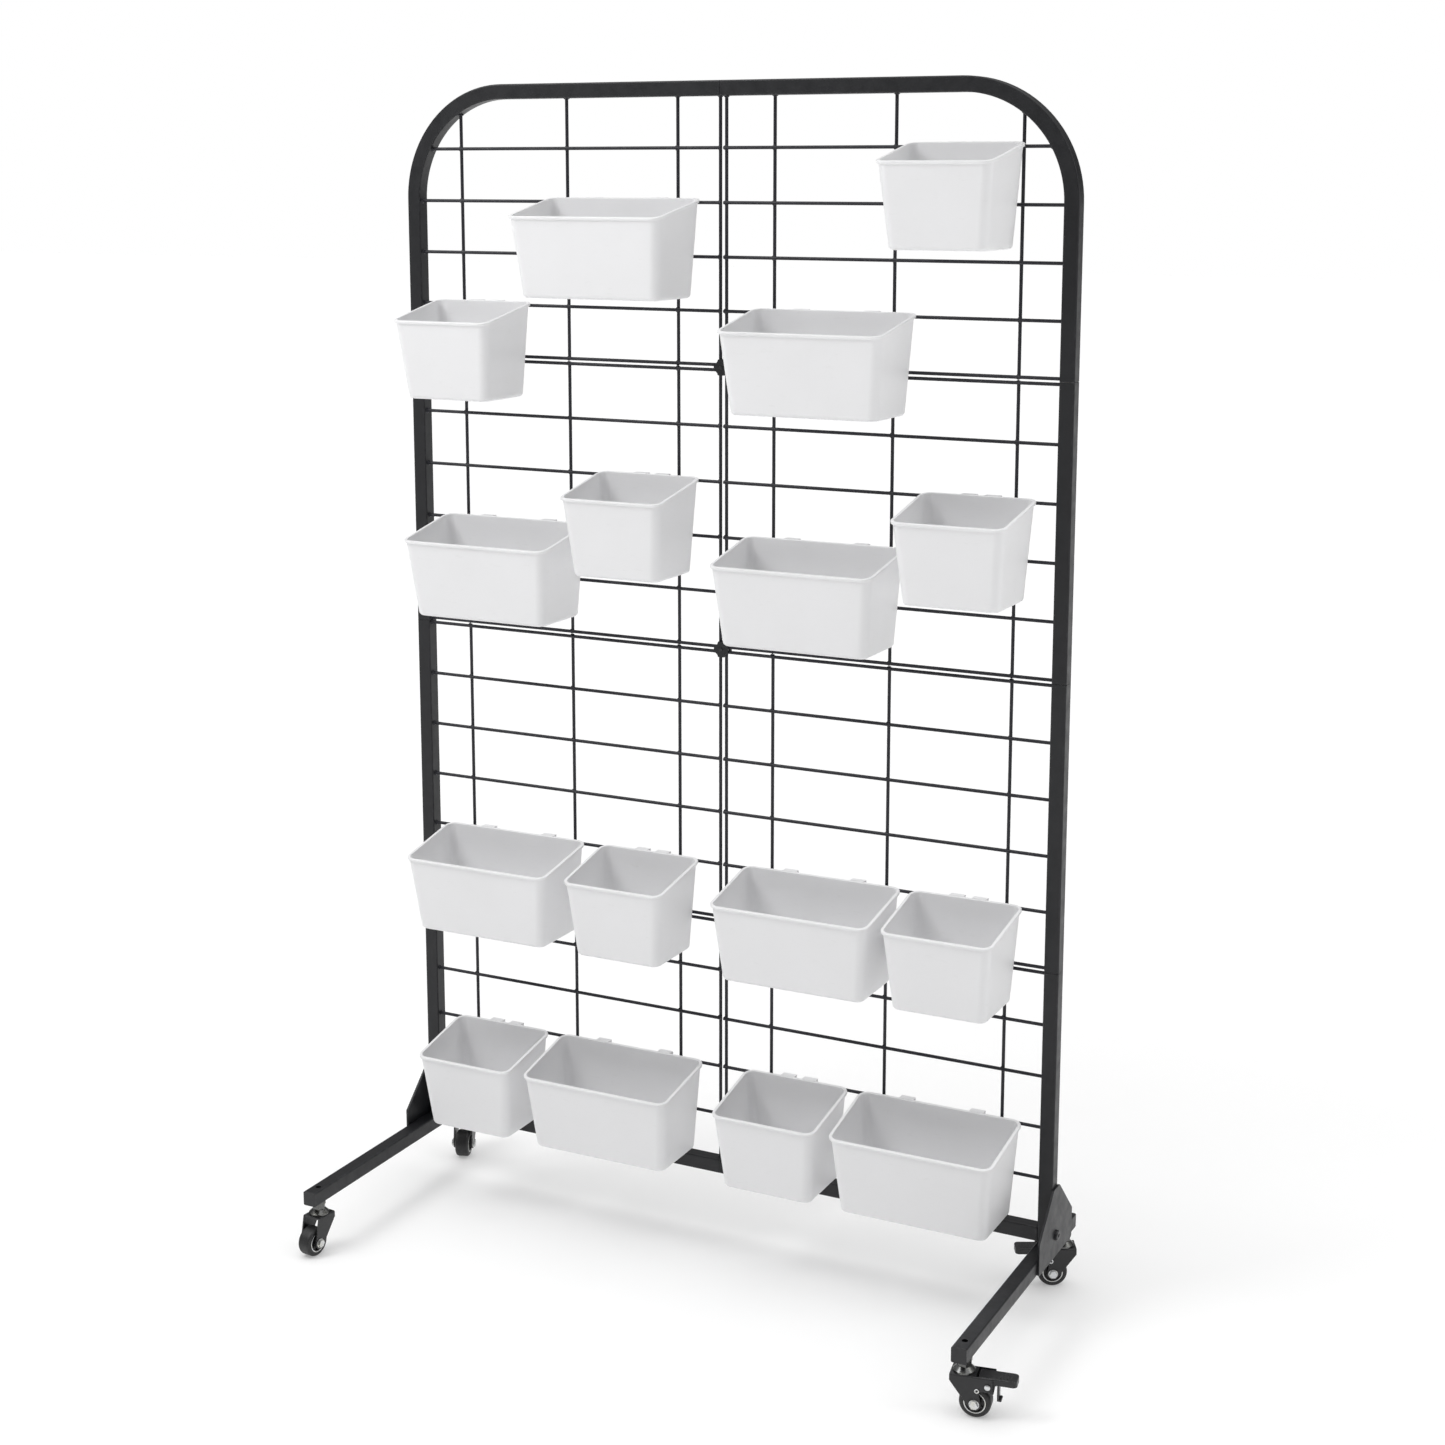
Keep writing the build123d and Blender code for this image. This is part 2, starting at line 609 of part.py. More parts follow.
def tapered_block(width, inset, base):
    """Solid that tapers like the bin, drawn in from the rim by inset."""
    with BuildPart() as block:
        for height in (base, BACK_HEIGHT):
            # The draft is stated between the bottom and the front of the rim.
            shrink = 1 - height / BIN_FRONT_HEIGHT
            half_width = width / 2 - inset - BIN_SIDE_DRAFT * shrink
            front = RIM_BACK - BIN_DEPTH + inset + BIN_FRONT_DRAFT * shrink
            back = RIM_BACK - inset
            with BuildSketch(Plane.XY.offset(height)):
                with Locations((0, (front + back) / 2)):
                    RectangleRounded(2 * half_width, back - front, BIN_CORNER - inset)
        loft()
    return block.part


def hanging_bin(width, hook_spacing):
    """Tapered bin with a sloping rim and two hooks, standing on z = 0."""
    outside = tapered_block(width, BIN_LIP, 0)
    rim_block = tapered_block(width, 0, 0)
    inside = tapered_block(width, BIN_LIP + BIN_WALL, BIN_WALL)
    rim_plane = Plane(
        origin=(0, RIM_BACK, BACK_HEIGHT),
        x_dir=(1, 0, 0),
        z_dir=(0, -rim_slope, 1),
    )
    with BuildPart() as rim:
        add(rim_block)
        split(bisect_by=rim_plane, keep=Keep.BOTTOM)
        split(bisect_by=rim_plane.offset(-LIP_HEIGHT), keep=Keep.TOP)
        fillet(rim.faces().sort_by(Axis.Z)[-1].edges(), BIN_LIP_ROUND)
    with BuildPart() as cavity:
        add(inside)
        fillet(cavity.faces().sort_by(Axis.Z)[0].edges(), FLOOR_FILLET - BIN_WALL)
    wire_z = BACK_HEIGHT - BIN_RISE
    hook_low = wire_z + WIRE / 2 + HOOK_GAP
    hook_front = -CROSSING_Y + WIRE / 2 + HOOK_GAP
    with BuildPart() as body:
        add(outside)
        fillet(body.faces().sort_by(Axis.Z)[0].edges(), FLOOR_FILLET)
        split(bisect_by=rim_plane, keep=Keep.BOTTOM)
        add(rim.part)
        add(cavity.part, mode=Mode.SUBTRACT)
        rim_face = body.faces().filter_by(rim_plane).sort_by(Axis.Z)[-1]
        fillet(rim_face.inner_wires()[0].edges(), BIN_MOUTH_ROUND)
        hook_x = ((-hook_spacing / 2, 0), (hook_spacing / 2, 0))
        back_wall = RIM_BACK - BIN_LIP
        with BuildSketch(Plane.XY.offset(hook_low)):
            with Locations(*hook_x):
                with Locations((0, back_wall)):
                    Rectangle(
                        HOOK_WIDTH,
                        hook_front + HOOK_SHEET - back_wall,
                        align=(Align.CENTER, Align.MIN),
                    )
        extrude(amount=BACK_HEIGHT - hook_low)
        with BuildSketch(Plane.XY.offset(wire_z - HOOK_DROP)):
            with Locations(*hook_x):
                with Locations((0, hook_front)):
                    Rectangle(HOOK_WIDTH, HOOK_SHEET, align=(Align.CENTER, Align.MIN))
        extrude(amount=BACK_HEIGHT - wire_z + HOOK_DROP)
    return body.part


bin_shapes = {size: hanging_bin(BIN_WIDTHS[size], HOOK_SPACING[size]) for size in BIN_WIDTHS}
for number, (size, x, row, wire) in enumerate(BINS, start=1):
    # Wires are counted upwards from the lower edge of a row, starting at 0.
    levels = sorted(row_levels(row))
    wire_z = levels[wire]
    place = Pos(x, 0, wire_z + BIN_RISE - BACK_HEIGHT)
    save(place * bin_shapes[size], f"bin_{number:02d}_{size}")
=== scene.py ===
import json
import math
import random

import bmesh
import bpy
from mathutils import Matrix, Vector


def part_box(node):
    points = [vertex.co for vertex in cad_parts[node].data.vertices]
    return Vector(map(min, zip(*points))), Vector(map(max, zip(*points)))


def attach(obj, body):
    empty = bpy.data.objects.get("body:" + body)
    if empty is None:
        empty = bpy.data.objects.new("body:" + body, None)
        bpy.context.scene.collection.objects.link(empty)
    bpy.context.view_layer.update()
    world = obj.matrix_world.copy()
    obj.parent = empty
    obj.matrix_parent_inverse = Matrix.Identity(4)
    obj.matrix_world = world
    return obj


# Free-standing wire grid stand with hanging bins. Metres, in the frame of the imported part:
# X is the width, -Y is the front, +Z is up, and the origin is on the floor.

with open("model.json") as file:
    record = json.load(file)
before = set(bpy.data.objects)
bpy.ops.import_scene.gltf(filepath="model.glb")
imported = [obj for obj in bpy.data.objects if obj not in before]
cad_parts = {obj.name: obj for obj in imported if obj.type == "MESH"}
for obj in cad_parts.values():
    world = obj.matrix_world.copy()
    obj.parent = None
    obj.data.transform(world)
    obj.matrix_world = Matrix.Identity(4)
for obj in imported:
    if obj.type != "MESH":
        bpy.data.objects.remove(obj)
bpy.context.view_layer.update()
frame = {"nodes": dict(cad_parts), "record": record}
nodes = frame["nodes"]
record = frame["record"]

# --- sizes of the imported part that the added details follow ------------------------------
WIRE = 0.0045
TUBE = 0.020
PITCH = 0.075
END_PITCH = 0.0708
BORDER_GAP = 0.007
BORDER_X = 0.0045
COLUMNS_X = (0.071, 0.2405, 0.410)
COLUMN_SHIFT = 0.0035
WIRE_Y = 0.00205                      # uprights stand behind the grid's plane, levels before it
BEND_RADIUS = 0.135                   # inside of the bent top corners
TRAIL = 0.015                         # swivel axis to wheel axis
WHEEL_RADIUS = 0.020
WHEEL_FACE = 0.010                    # side of a wheel, from its middle
FORK_FACE = 0.0145                    # outside of a fork's cheek
PIVOT = (0.031, 0.045)                # brake pedal's pivot: along the trail, height
PIVOT_END = 0.0153
PEDAL_TOP = 0.055

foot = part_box("frame_tube_row1_left")[0].z
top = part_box("frame_tube_row4_left")[1].z
half_width = -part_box("frame_tube_row2_left")[0].x
inner_x = half_width - TUBE
middle = (foot + top) / 2
section = 5 * PITCH + BORDER_GAP
SIDES = {"left": -1, "right": 1}


# --- node helpers -------------------------------------------------------------------------
class Shader:
    """A node material, built a node at a time."""

    def __init__(self, name):
        self.material = bpy.data.materials.new(name)
        self.material.use_nodes = True
        self.tree = self.material.node_tree
        self.surface = self.tree.nodes["Principled BSDF"]
        self.position = self.add("ShaderNodeTexCoord").outputs["Object"]

    def add(self, kind, **settings):
        node = self.tree.nodes.new(kind)
        for name, value in settings.items():
            setattr(node, name, value)
        return node

    def link(self, source, target):
        self.tree.links.new(source, target)

    def noise(self, scale, detail=3.0, roughness=0.5, stretch=(1, 1, 1)):
        """Noise in the part's own metres; scale is about the number of blobs in a metre."""
        mapping = self.add("ShaderNodeMapping")
        mapping.inputs["Scale"].default_value = stretch
        self.link(self.position, mapping.inputs["Vector"])
        noise = self.add("ShaderNodeTexNoise")
        noise.inputs["Scale"].default_value = scale
        noise.inputs["Detail"].default_value = detail
        noise.inputs["Roughness"].default_value = roughness
        self.link(mapping.outputs["Vector"], noise.inputs["Vector"])
        return noise.outputs["Fac"]

    def remap(self, value, low, high, start=0.3, end=0.7):
        """Turns value from start to end into low to high."""
        ramp = self.add("ShaderNodeMapRange")
        for name, number in (("From Min", start), ("From Max", end), ("To Min", low), ("To Max", high)):
            ramp.inputs[name].default_value = number
        self.link(value, ramp.inputs["Value"])
        return ramp.outputs["Result"]

    def mix(self, factor, first, second):
        """Colour between two, each a socket or a tuple."""
        mix = self.add("ShaderNodeMix", data_type="RGBA")
        if isinstance(factor, float):
            mix.inputs["Factor"].default_value = factor
        else:
            self.link(factor, mix.inputs["Factor"])
        for socket, colour in ((mix.inputs[6], first), (mix.inputs[7], second)):
            if isinstance(colour, tuple):
                socket.default_value = (*colour, 1.0)
            else:
                self.link(colour, socket)
        return mix.outputs[2]

    def multiply(self, first, second):
        product = self.add("ShaderNodeMath", operation="MULTIPLY")
        self.link(first, product.inputs[0])
        if isinstance(second, float):
            product.inputs[1].default_value = second
        else:
            self.link(second, product.inputs[1])
        return product.outputs[0]

    def edges(self, radius, start=0.02, end=0.30):
        """1 on edges rounded by less than radius, 0 on flat faces."""
        bevel = self.add("ShaderNodeBevel", samples=4)
        bevel.inputs["Radius"].default_value = radius
        geometry = self.add("ShaderNodeNewGeometry")
        difference = self.add("ShaderNodeVectorMath", operation="DISTANCE")
        self.link(bevel.outputs["Normal"], difference.inputs[0])
        self.link(geometry.outputs["Normal"], difference.inputs[1])
        return self.remap(difference.outputs["Value"], 0.0, 1.0, start, end)

    def bump(self, height, depth, before=None):
        """Adds relief of depth metres, over the bump before it."""
        bump = self.add("ShaderNodeBump")
        bump.inputs["Strength"].default_value = 1.0
        bump.inputs["Distance"].default_value = depth
        self.link(height, bump.inputs["Height"])
        if before is not None:
            self.link(before, bump.inputs["Normal"])
        return bump.outputs["Normal"]

    def finish(self, colour, roughness, normal=None, **constants):
        """Connects the surface; the constants are set on the shader's own sockets."""
        if isinstance(colour, tuple):
            self.surface.inputs["Base Color"].default_value = (*colour, 1.0)
        else:
            self.link(colour, self.surface.inputs["Base Color"])
        self.link(roughness, self.surface.inputs["Roughness"])
        if normal is not None:
            self.link(normal, self.surface.inputs["Normal"])
        for name, value in constants.items():
            self.surface.inputs[name.replace("_", " ")].default_value = value
        return self.material


# --- materials ----------------------------------------------------------------------------
def powder_coat(name, colour, worn, roughness):
    """Baked powder paint: orange peel, faint mottling, thin paint on the edges."""
    s = Shader(name)
    mottling = s.remap(s.noise(38, 4), 0.0, 1.0)
    grain = s.noise(1500, 2)
    peel = s.noise(420, 2)
    wear = s.multiply(s.edges(0.0012), s.remap(s.noise(150, 5, 0.7), 0.0, 0.8, 0.48, 0.66))
    paint = s.mix(mottling, colour, tuple(c * 1.28 for c in colour))
    relief = s.bump(grain, 0.00003, s.bump(peel, 0.00008))
    rough = s.remap(s.noise(70, 5), roughness - 0.06, roughness + 0.07)
    return s.finish(s.mix(wear, paint, worn), rough, relief, Specular_IOR_Level=0.38)


def bin_plastic(name):
    """White moulded polypropylene: satin, faintly translucent, with a fine mould grain."""
    s = Shader(name)
    cloud = s.remap(s.noise(9, 3), 0.0, 1.0)
    colour = s.mix(cloud, (0.865, 0.865, 0.875), (0.845, 0.845, 0.853))
    scuffs = s.remap(s.noise(60, 6, 0.65, (1, 1, 4)), 0.0, 1.0, 0.60, 0.72)
    colour = s.mix(s.multiply(scuffs, 0.30), colour, (0.76, 0.76, 0.76))
    relief = s.bump(s.noise(2600, 2), 0.000012, s.bump(s.noise(22, 2), 0.0003))
    rough = s.remap(s.noise(45, 4), 0.36, 0.46)
    return s.finish(
        colour,
        rough,
        relief,
        Subsurface_Weight=0.12,
        Subsurface_Radius=(0.004, 0.004, 0.0038),
        Subsurface_Scale=1.0,
        Specular_IOR_Level=0.45,
    )


def tyre_rubber(name):
    """Polyurethane tread with scuffs and a little dust where it runs."""
    s = Shader(name)
    dust = s.remap(s.noise(520, 6, 0.7), 0.0, 0.55, 0.5, 0.75)
    colour = s.mix(dust, (0.014, 0.014, 0.015), (0.07, 0.068, 0.064))
    relief = s.bump(s.noise(2400, 3), 0.00004, s.bump(s.noise(500, 4, 0.7), 0.00008))
    return s.finish(colour, s.remap(s.noise(300, 4), 0.40, 0.62), relief)


def moulded_plastic(name, colour, roughness):
    """Coloured moulding with a spark-eroded grain."""
    s = Shader(name)
    tone = s.mix(s.remap(s.noise(240, 4), 0.0, 1.0), colour, tuple(c * 1.35 for c in colour))
    relief = s.bump(s.noise(3200, 2), 0.00003)
    return s.finish(tone, s.remap(s.noise(200, 3), roughness - 0.06, roughness + 0.06), relief)


def plated_steel(name, colour, roughness, tint, shade_above=None):
    """Zinc plate or bare steel: fine streaks, a tint, and painted shade that darkens it above a height."""
    s = Shader(name)
    streaks = s.noise(260, 5, 0.6, (1, 1, 9))
    tone = s.mix(s.remap(s.noise(130, 4), 0.0, 1.0, 0.42, 0.62), colour, tint)
    # painted shade: above this height the zinc is darkened to near black, standing in for the shadow under
    # the legs
    if shade_above is not None:
        height = s.add("ShaderNodeSeparateXYZ")
        s.link(s.add("ShaderNodeNewGeometry").outputs["Position"], height.inputs["Vector"])
        painted_shade = s.remap(height.outputs["Z"], 0.0, 0.85, shade_above - 0.003, shade_above + 0.003)
        tone = s.mix(painted_shade, tone, tuple(c * 0.08 for c in tint))
    relief = s.bump(streaks, 0.00002)
    rough = s.remap(streaks, roughness - 0.08, roughness + 0.12)
    return s.finish(tone, rough, relief, Metallic=1.0)


def coated_steel(name, colour, worn, roughness):
    """Thin black coating on pressed steel, rubbed through to the metal on its edges."""
    s = Shader(name)
    wear = s.multiply(s.edges(0.0006), s.remap(s.noise(700, 5, 0.7), 0.0, 1.0, 0.50, 0.62))
    tone = s.mix(s.remap(s.noise(190, 4), 0.0, 1.0), colour, tuple(c * 1.4 for c in colour))
    s.link(wear, s.surface.inputs["Metallic"])
    relief = s.bump(s.noise(1600, 3), 0.00003)
    rough = s.remap(s.noise(260, 4), roughness - 0.07, roughness + 0.08)
    return s.finish(s.mix(wear, tone, worn), rough, relief)


FRAME_BLACK, FRAME_WORN = (0.010, 0.0103, 0.012), (0.06, 0.06, 0.07)
WIRE_BLACK, WIRE_WORN = (0.012, 0.012, 0.017), (0.05, 0.05, 0.055)
HUB_BLACK = (0.012, 0.012, 0.013)
CAP_BLACK = (0.014, 0.0145, 0.016)
ZINC, ZINC_TINT = (0.66, 0.67, 0.68), (0.60, 0.60, 0.56)
BARE_STEEL, BARE_TINT = (0.46, 0.46, 0.47), (0.36, 0.34, 0.31)
FORK_BLACK, FORK_WORN = (0.010, 0.010, 0.011), (0.30, 0.30, 0.31)
SCREW_BLACK, SCREW_WORN = (0.012, 0.012, 0.014), (0.28, 0.28, 0.29)
SHADE_HEIGHT = 0.053                 # the casters' bearings are above it; painted shade darkens the zinc there, for the shadow under the legs

MATERIALS = {
    "frame_powder_coat": powder_coat("frame_powder_coat", FRAME_BLACK, FRAME_WORN, 0.40),
    "wire_powder_coat": powder_coat("wire_powder_coat", WIRE_BLACK, WIRE_WORN, 0.42),
    "bin_plastic": bin_plastic("bin_plastic"),
    "tyre_polyurethane": tyre_rubber("tyre_polyurethane"),
    "hub_plastic": moulded_plastic("hub_plastic", HUB_BLACK, 0.42),
    "zinc_steel": plated_steel("zinc_steel", ZINC, 0.27, ZINC_TINT, SHADE_HEIGHT),
    "black_pressed_steel": coated_steel("black_pressed_steel", FORK_BLACK, FORK_WORN, 0.36),
    "black_fastener": coated_steel("black_fastener", SCREW_BLACK, SCREW_WORN, 0.34),
    "end_cap_plastic": moulded_plastic("end_cap_plastic", CAP_BLACK, 0.50),
    "sleeve_steel": plated_steel("sleeve_steel", BARE_STEEL, 0.38, BARE_TINT),
}

slot_of = {part["node"]: part["material_slot"] for part in record["subparts"]}
for name, node in nodes.items():
    node.data.materials.clear()
    node.data.materials.append(MATERIALS[slot_of[name]])


# --- mesh helpers -------------------------------------------------------------------------
def make_piece(name, mesh, body, slot_name, smooth=True, angle=40):
    """Turns a bmesh into a piece with its material, which rides on its body."""
    bmesh.ops.recalc_face_normals(mesh, faces=mesh.faces)
    data = bpy.data.meshes.new(name)
    mesh.to_mesh(data)
    mesh.free()
    piece = bpy.data.objects.new(name, data)
    bpy.context.scene.collection.objects.link(piece)
    data.materials.append(MATERIALS[slot_name])
    if smooth:
        data.polygons.foreach_set("use_smooth", [True] * len(data.polygons))
        data.set_sharp_from_angle(angle=math.radians(angle))
    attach(piece, body)
    return piece


def lathe(mesh, profile, place, steps=24):
    """Turns a profile of (radius, height) about the local Z axis; radius 0 closes an end."""
    rings = []
    for radius, height in profile:
        if radius == 0:
            rings.append([mesh.verts.new(place @ Vector((0, 0, height)))])
            continue
        turn = [2 * math.pi * step / steps for step in range(steps)]
        points = [Vector((radius * math.cos(a), radius * math.sin(a), height)) for a in turn]
        rings.append([mesh.verts.new(place @ point) for point in points])
    for low, high in zip(rings, rings[1:]):
        count = max(len(low), len(high))
        for step in range(count):
            after = (step + 1) % count
            corners = (
                low[step % len(low)],
                low[after % len(low)],
                high[after % len(high)],
                high[step % len(high)],
            )
            mesh.faces.new(list(dict.fromkeys(corners)))
    return rings


def towards(point, direction):
    """Placement at point whose local Z looks along direction."""
    return Matrix.Translation(point) @ Vector(direction).to_track_quat("Z", "Y").to_matrix().to_4x4()


def row_levels(row):
    """Heights of a row's level wires."""
    up = 1 if row > 2 else -1
    end = row in (1, 4)
    first = middle + up * (section * end + BORDER_GAP / 2)
    pitch = END_PITCH if end else PITCH
    return [first + up * pitch * step for step in range(5 if end else 6)]


def bend_reach(distance):
    """How far the inside of a bent corner reaches, at a distance past its start."""
    return math.sqrt(max(BEND_RADIUS**2 - distance**2, 0.0))


# --- welds of the wire mesh ---------------------------------------------------------------
BEAD_RADIUS = 0.0036
BEAD_HALF_THICKNESS = 0.0011
COLLAR_RADIUS = (0.0038, 0.0044)      # least and most, where a collar sits on its tube
COLLAR_HEIGHT = (0.0016, 0.0024)


def crossing_bead(mesh, x, z, rng):
    """The flattened collar of metal where two wires were pressed and welded together."""
    wide = BEAD_RADIUS * rng.uniform(0.92, 1.08)
    thick = BEAD_HALF_THICKNESS * rng.uniform(0.9, 1.1)
    profile = ((0, -thick), (wide * 0.72, -thick * 0.8), (wide, 0), (wide * 0.72, thick * 0.8), (0, thick))
    lathe(mesh, profile, towards((x, 0, z), (0, -1, 0)), steps=12)


def end_collar(mesh, point, direction, rng):
    """The ring of weld where a wire meets a tube; direction points away from the tube."""
    wide = rng.uniform(*COLLAR_RADIUS)
    high = rng.uniform(*COLLAR_HEIGHT)
    wire = WIRE / 2
    profile = (
        (wide, -0.0008),
        (wide, 0.0002),
        (wide * 0.80 + wire * 0.15, high * 0.35),
        (wire * 1.08, high * 0.75),
        (wire * 0.9, high),
    )
    lathe(mesh, profile, towards(point, direction), steps=12)


def weld_mesh(side, row, rng):
    """All the welds of one wire mesh: its crossings and its ends on the tubes."""
    levels = row_levels(row)
    columns = [side * BORDER_X] + [side * x + COLUMN_SHIFT for x in COLUMNS_X]
    arc_x = inner_x - BEND_RADIUS
    arc_z = top - TUBE - BEND_RADIUS
    mesh = bmesh.new()
    for x in columns:
        for z in levels:
            crossing_bead(mesh, x, z, rng)
    for z in levels:
        reach = inner_x
        if row == 4 and z > arc_z:
            reach = arc_x + bend_reach(z - arc_z)
        end_collar(mesh, (side * reach, -WIRE_Y, z), (-side, 0, 0), rng)
    for x in columns:
        if row == 4:
            high = top - TUBE
            if abs(x) > arc_x:
                high = arc_z + bend_reach(abs(x) - arc_x)
            end_collar(mesh, (x, WIRE_Y, high), (0, 0, -1), rng)
        if row == 1:
            end_collar(mesh, (x, WIRE_Y, foot + TUBE), (0, 0, 1), rng)
    return mesh


rng = random.Random(5)
for row in (1, 2, 3, 4):
    for name, side in SIDES.items():
        make_piece(f"wire_welds_row{row}_{name}", weld_mesh(side, row, rng), "stand", "wire_powder_coat")


# --- welds of the frame -------------------------------------------------------------------
BEAD_STEP = 0.0011                    # from one ripple of a bead to the next
BEAD_SIZE = 0.0026
TUBE_CORNER = 0.002


def weld_bead(mesh, start, end, first, second, size, rng):
    """A rippled fillet weld from start to end, in the corner between two faces."""
    start, end = Vector(start), Vector(end)
    first, second = Vector(first), Vector(second)
    count = max(4, 2 * round((end - start).length / BEAD_STEP))
    sections = []
    for step in range(count + 1):
        share = step / count
        bulge = size * (1.0 + (0.10 if step % 2 else -0.06) + rng.uniform(-0.05, 0.05))
        bulge *= min(1.0, 0.35 + 5 * min(share, 1 - share))
        corner = start.lerp(end, share) - 0.15 * size * (first + second)
        arc = [math.radians(angle) for angle in (0, 22.5, 45, 67.5, 90)]
        ring = [corner] + [corner + bulge * (math.cos(t) * first + math.sin(t) * second) for t in arc]
        sections.append([mesh.verts.new(point) for point in ring])
    for low, high in zip(sections, sections[1:]):
        for k in range(len(low)):
            after = (k + 1) % len(low)
            mesh.faces.new((low[k], low[after], high[after], high[k]))
    mesh.faces.new(sections[0])
    mesh.faces.new(reversed(sections[-1]))


def frame_beads(side, rng):
    """Beads at the foot of an upright and where the bottom rail meets it."""
    mesh = bmesh.new()
    leg_x = side * (half_width - TUBE / 2)
    reach = TUBE / 2 - TUBE_CORNER
    for face in (-1, 1):
        y = face * TUBE / 2
        start, end = (leg_x - reach, y, foot), (leg_x + reach, y, foot)
        weld_bead(mesh, start, end, (0, face, 0), (0, 0, 1), BEAD_SIZE, rng)
    rail_top = foot + TUBE
    corner = side * inner_x
    start, end = (corner, -reach, rail_top), (corner, reach, rail_top)
    weld_bead(mesh, start, end, (-side, 0, 0), (0, 0, 1), BEAD_SIZE, rng)
    return mesh


for name, side in SIDES.items():
    make_piece(f"frame_welds_{name}", frame_beads(side, rng), "stand", "frame_powder_coat")


# --- casters ------------------------------------------------------------------------------
def caster_places():
    """For every caster its name and the placement with the trail along X, the axle along Y."""
    joints = {joint["name"]: joint for joint in record["behaviour"]["joints"]}
    for name, joint in joints.items():
        if not name.startswith("swivel_"):
            continue
        caster = name.removeprefix("swivel_")
        axle = Vector(joints[f"wheel_spin_{caster}"]["axis"])
        trail = axle.cross(Vector((0, 0, 1)))
        turn = Matrix((trail, axle, (0, 0, 1))).transposed().to_4x4()
        x, y, _ = joint["pos_m"]
        yield caster, Matrix.Translation((x, y, 0)) @ turn, f"brake_{caster}" in joints


def ring(mesh, place, centre, face, inner, outer, high, low=-0.0003):
    """A flat ring with rounded edges, high proud of the face; face is -1 or 1."""
    edge = (outer - inner) * 0.22
    profile = (
        (inner, low),
        (inner, high * 0.5),
        (inner + edge, high),
        (outer - edge, high),
        (outer, high * 0.5),
        (outer, low),
        (inner, low),
    )
    lathe(mesh, profile, place @ towards(centre, (0, face, 0)), steps=36)


def rivet_head(mesh, place, centre, face, radius, high):
    """A domed head that closes on its face."""
    profile = ((0, -0.0002), (radius, -0.0002), (radius, high * 0.3), (radius * 0.75, high * 0.8), (0, high))
    lathe(mesh, profile, place @ towards(centre, (0, face, 0)), steps=24)


def rib(mesh, place, low, high):
    """A bar with a rounded back, between two corners of its box."""
    (x0, y0, z0), (x1, y1, z1) = low, high
    inset = (x1 - x0) * 0.3
    shoulder = z1 - inset / 2
    section = ((x0, z0), (x1, z0), (x1, shoulder), (x1 - inset, z1), (x0 + inset, z1), (x0, shoulder))
    ends = [[mesh.verts.new(place @ Vector((x, y, z))) for x, z in section] for y in (y0, y1)]
    for k in range(len(section)):
        after = (k + 1) % len(section)
        mesh.faces.new((ends[0][k], ends[0][after], ends[1][after], ends[1][k]))
    mesh.faces.new(ends[0])
    mesh.faces.new(reversed(ends[1]))


HUB_SPOKES = 6
SPOKE_ENDS = (0.0058, 0.0116)         # radii, from the boss to the wheel's rim
SPOKE_DEPTHS = (0.0026, 0.0006)       # of its bottom and top, below the wheel's face
WHEEL_RING = (0.0124, 0.0137)         # inner and outer radius
AXLE_WASHER = (0.0030, 0.0064)
EYELET = (0.018, 0.038)               # beside the wheel's top, in each cheek
EYELET_RING = (0.0015, 0.0030)
GRIP_RIBS = (0.046, 0.050, 0.054, 0.058)
RIB_HALF_WIDTH = 0.0006
GRIP_HALF_LENGTH = 0.007
HOOK_BARS = (                         # the catch below the pedal: its shank and its foot
    ((0.0415, -0.006, 0.0240), (0.0436, 0.006, 0.0475)),
    ((0.0430, -0.006, 0.0240), (0.0468, 0.006, 0.0262)),
)

for name, place, braked in caster_places():
    rings = bmesh.new()
    spokes = bmesh.new()
    fittings = bmesh.new()
    for face in (-1, 1):
        ring(rings, place, (TRAIL, face * WHEEL_FACE, WHEEL_RADIUS), face, *WHEEL_RING, 0.0004)
        for step in range(HUB_SPOKES):
            turn = Matrix.Rotation(2 * math.pi * step / HUB_SPOKES, 4, "Y")
            spoke = place @ Matrix.Translation((TRAIL, 0, WHEEL_RADIUS)) @ turn
            near, far = sorted(face * (WHEEL_FACE - depth) for depth in SPOKE_DEPTHS)
            low = (-RIB_HALF_WIDTH, near, SPOKE_ENDS[0])
            high = (RIB_HALF_WIDTH, far, SPOKE_ENDS[1])
            rib(spokes, spoke, low, high)
        ring(fittings, place, (TRAIL, face * FORK_FACE, WHEEL_RADIUS), face, *AXLE_WASHER, 0.0007)
        if braked:
            ring(fittings, place, (EYELET[0], face * FORK_FACE, EYELET[1]), face, *EYELET_RING, 0.0006)
    make_piece(f"wheel_rings_{name}", rings, f"wheel_{name}", "zinc_steel")
    make_piece(f"wheel_spokes_{name}", spokes, f"wheel_{name}", "hub_plastic")
    make_piece(f"fork_fittings_{name}", fittings, f"caster_{name}", "zinc_steel")
    if braked:
        rivets = bmesh.new()
        for face in (-1, 1):
            rivet_head(rivets, place, (PIVOT[0], face * PIVOT_END, PIVOT[1]), face, 0.0036, 0.0010)
        make_piece(f"pedal_rivets_{name}", rivets, f"pedal_{name}", "zinc_steel")
        ribs = bmesh.new()
        for x in GRIP_RIBS:
            low = (x - RIB_HALF_WIDTH, -GRIP_HALF_LENGTH, PEDAL_TOP - 0.0003)
            high = (x + RIB_HALF_WIDTH, GRIP_HALF_LENGTH, PEDAL_TOP + 0.0005)
            rib(ribs, place, low, high)
        make_piece(f"pedal_grip_{name}", ribs, f"pedal_{name}", "black_pressed_steel")
        hook = bmesh.new()
        for low, high in HOOK_BARS:
            rib(hook, place, low, high)
        make_piece(f"pedal_hook_{name}", hook, f"pedal_{name}", "black_pressed_steel")


# --- floor, light, camera -----------------------------------------------------------------
FLOOR_SIZE = 30                       # half its side
FLOOR_DROP = 0.0003                   # keeps it clear of the wheels


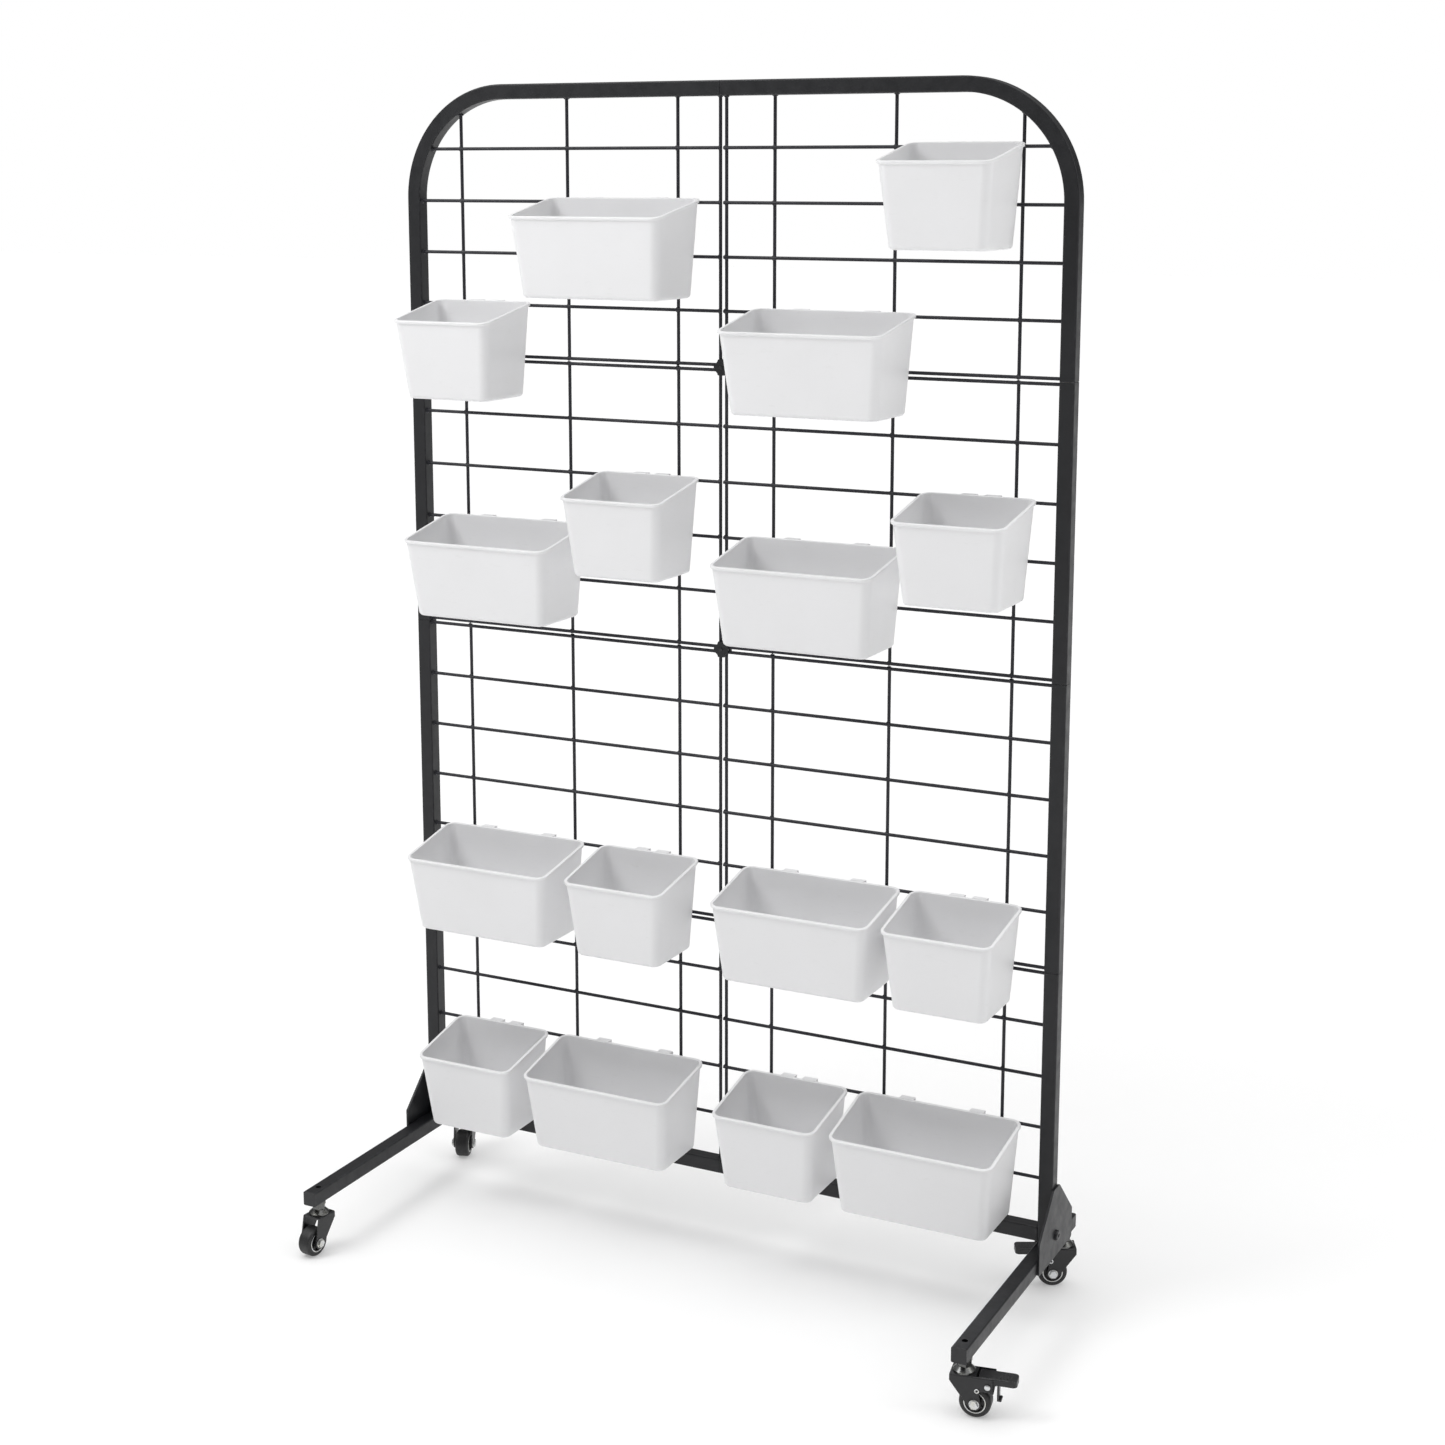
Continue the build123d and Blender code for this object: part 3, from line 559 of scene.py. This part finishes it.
def make_floor():
    """A pale floor that glows a little more with distance, so that no horizon shows."""
    mesh = bmesh.new()
    bmesh.ops.create_grid(mesh, x_segments=1, y_segments=1, size=FLOOR_SIZE)
    data = bpy.data.meshes.new("studio_floor")
    mesh.to_mesh(data)
    mesh.free()
    floor = bpy.data.objects.new("studio_floor", data)
    bpy.context.scene.collection.objects.link(floor)
    floor.location.z = -FLOOR_DROP
    s = Shader("studio_floor")
    distance = s.add("ShaderNodeVectorMath", operation="LENGTH")
    s.link(s.position, distance.inputs[0])
    glow = s.remap(distance.outputs["Value"], 0.30, 0.46, 0.6, 4.0)
    s.surface.inputs["Emission Color"].default_value = (1.0, 1.0, 1.0, 1.0)
    s.link(glow, s.surface.inputs["Emission Strength"])
    s.finish((0.70, 0.70, 0.70), s.remap(s.noise(3, 2), 0.75, 0.85))
    data.materials.append(s.material)


def area_light(name, place, target, size, power):
    """A rectangular softbox at place that shines towards target."""
    data = bpy.data.lights.new(name, "AREA")
    data.shape = "RECTANGLE"
    data.size, data.size_y = size
    data.energy = power
    light = bpy.data.objects.new(name, data)
    light.location = place
    light.rotation_mode = "QUATERNION"
    light.rotation_quaternion = (Vector(target) - Vector(place)).to_track_quat("-Z", "Y")
    bpy.context.scene.collection.objects.link(light)


make_floor()
area_light("key_softbox", (-1.5, -1.6, 2.9), (0, 0, 1.4), (1.3, 1.3), 34)
area_light("side_softbox", (3.0, 0.3, 2.4), (0.4, 0, 1.2), (1.0, 1.8), 16)


def make_world():
    """White behind the stand; what lights it fades from overhead to the horizon."""
    world = bpy.data.worlds.new("studio")
    world.use_nodes = True
    tree = world.node_tree
    backdrop = tree.nodes["Background"]
    backdrop.inputs["Color"].default_value = (1.0, 1.0, 1.0, 1.0)
    sky = tree.nodes.new("ShaderNodeBackground")
    place = tree.nodes.new("ShaderNodeTexCoord")
    height = tree.nodes.new("ShaderNodeSeparateXYZ")
    overhead = tree.nodes.new("ShaderNodeMath")
    overhead.operation = "POWER"
    overhead.inputs[1].default_value = 3.0            # gathers the light near the zenith
    ramp = tree.nodes.new("ShaderNodeMapRange")
    ray = tree.nodes.new("ShaderNodeLightPath")
    mix = tree.nodes.new("ShaderNodeMixShader")
    for name, number in (("From Min", 0.0), ("From Max", 1.0), ("To Min", 0.10), ("To Max", 2.50)):
        ramp.inputs[name].default_value = number
    tree.links.new(place.outputs["Generated"], height.inputs["Vector"])
    tree.links.new(height.outputs["Z"], overhead.inputs[0])
    tree.links.new(overhead.outputs["Value"], ramp.inputs["Value"])
    tree.links.new(ramp.outputs["Result"], sky.inputs["Strength"])
    tree.links.new(ray.outputs["Is Camera Ray"], mix.inputs["Fac"])
    tree.links.new(sky.outputs["Background"], mix.inputs[1])
    tree.links.new(backdrop.outputs["Background"], mix.inputs[2])
    tree.links.new(mix.outputs["Shader"], tree.nodes["World Output"].inputs["Surface"])
    bpy.context.scene.world = world


make_world()
bpy.context.scene.view_settings.view_transform = "Standard"

CAMERA_PLACE = (1.389, -2.757, 1.489)
CAMERA_YAW = 26.75                    # degrees, turned from looking along +Y towards -X
CAMERA_PITCH = 10.32                  # degrees downwards
camera_data = bpy.data.cameras.new("camera")
camera_data.sensor_width = 36
camera_data.lens = 57.8
camera_data.shift_y = -0.09
camera = bpy.data.objects.new("camera", camera_data)
camera.location = CAMERA_PLACE
camera.rotation_euler = (math.radians(90 - CAMERA_PITCH), 0, math.radians(CAMERA_YAW))
bpy.context.scene.collection.objects.link(camera)
bpy.context.scene.camera = camera
